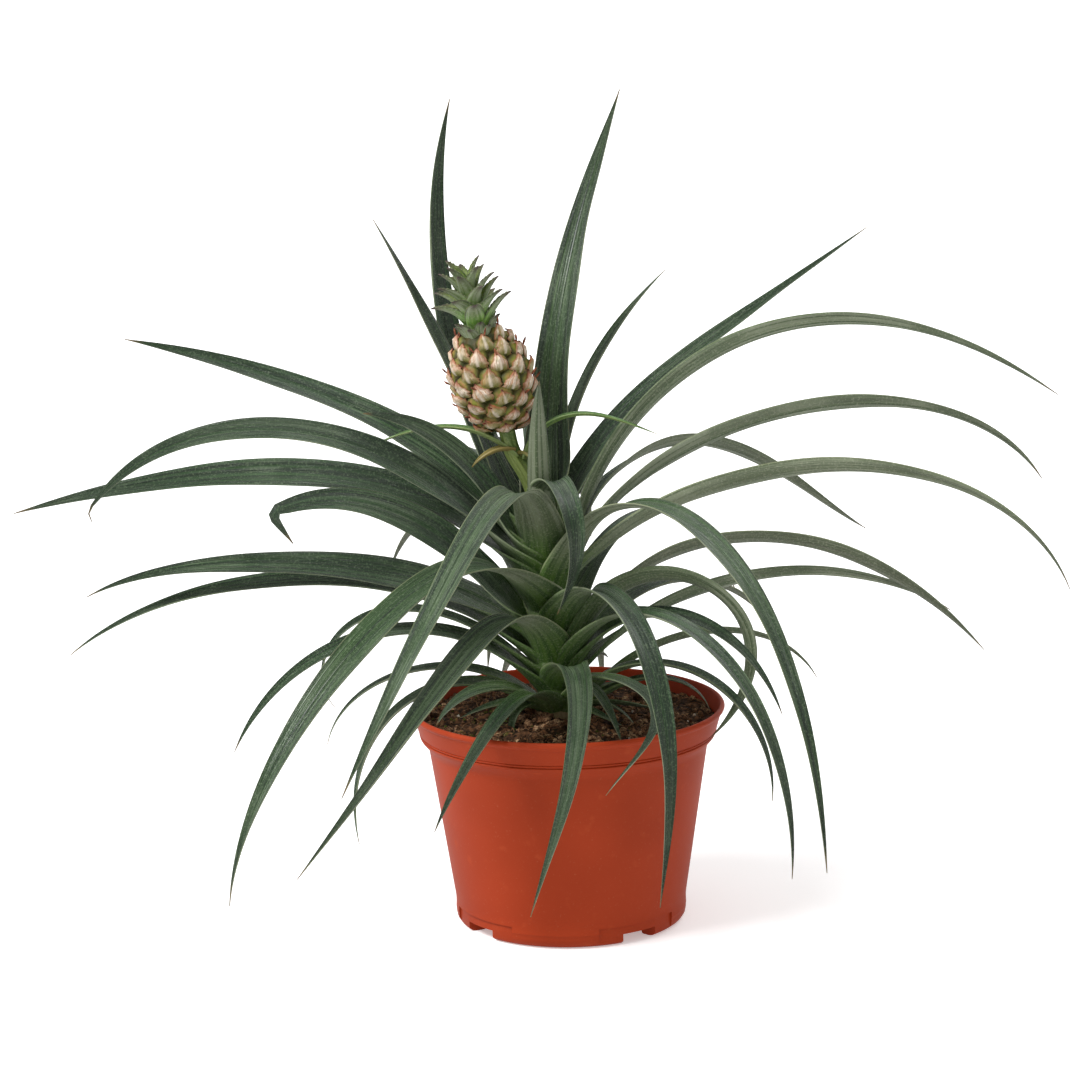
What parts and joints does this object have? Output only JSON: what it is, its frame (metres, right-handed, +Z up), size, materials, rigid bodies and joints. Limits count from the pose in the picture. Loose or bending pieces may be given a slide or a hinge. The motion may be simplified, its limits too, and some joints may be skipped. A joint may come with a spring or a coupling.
{
  "type": "potted pineapple plant",
  "caption": "Potted pineapple plant: arching sword leaves round a short stem, one small crowned fruit on a stalk, in a round plastic nursery pot of peaty soil.",
  "frame": {"origin": "centre of the pot's underside, on the surface it stands on", "axes": "+Z up, front of the plant along -Y, +X to the right seen from the front"},
  "size_m": [0.5225, 0.3935, 0.4159],
  "materials": {
    "pot": "satin moulded terracotta-coloured plastic",
    "soil": "rough fibrous peat",
    "stem": "fresh yellow-green leaf bases",
    "leaf": "waxy leaf, fine lengthwise streaks",
    "stalk": "fresh green, ribbed",
    "fruit": "rough eyes with papery bracts",
    "crown": "short stiff leaves with pale bloom"
  },
  "bodies": {
    "root": {"pot": "pot", "soil": "soil", "stem": "stem", "leaf_front_folded": "leaf", "leaf_top_right": "leaf", "leaf_top_left": "leaf", "leaf_right_raised": "leaf", "leaf_slim_right": "leaf", "leaf_front_upright": "leaf", "leaf_slim_left": "leaf", "leaf_back_1": "leaf", "leaf_left_high": "leaf", "leaf_front_tall": "leaf", "leaf_right_long_1": "leaf", "leaf_right_long_2": "leaf", "leaf_left_upright": "leaf", "leaf_right_back": "leaf", "leaf_left_arch": "leaf", "leaf_right_long_3": "leaf", "leaf_left_long": "leaf", "leaf_back_2": "leaf", "leaf_right_arch": "leaf", "leaf_front_sweep": "leaf", "leaf_back_3": "leaf", "leaf_back_5": "leaf", "leaf_front_big": "leaf", "leaf_left_folded": "leaf", "leaf_left_flat": "leaf", "leaf_back_6": "leaf", "leaf_right_long_4": "leaf", "leaf_back_4": "leaf", "leaf_right_hook": "leaf", "leaf_back_9": "leaf", "leaf_left_low": "leaf", "leaf_front_low": "leaf", "leaf_right_low": "leaf", "leaf_left_hook": "leaf", "leaf_right_narrow": "leaf", "leaf_right_long_5": "leaf", "leaf_back_10": "leaf", "leaf_front_hook": "leaf", "leaf_back_7": "leaf", "leaf_front_strap": "leaf", "leaf_left_behind": "leaf", "leaf_back_8": "leaf", "leaf_right_rim": "leaf", "leaf_left_thin": "leaf", "leaf_back_12": "leaf", "leaf_right_thin": "leaf", "leaf_back_11": "leaf", "leaf_front_short": "leaf", "leaf_right_inner": "leaf", "leaf_left_rim": "leaf", "leaf_left_on_soil": "leaf", "leaf_front_small": "leaf", "fruit_stalk": "stalk", "fruit": "fruit", "crown": "crown"}
  },
  "joints": []
}
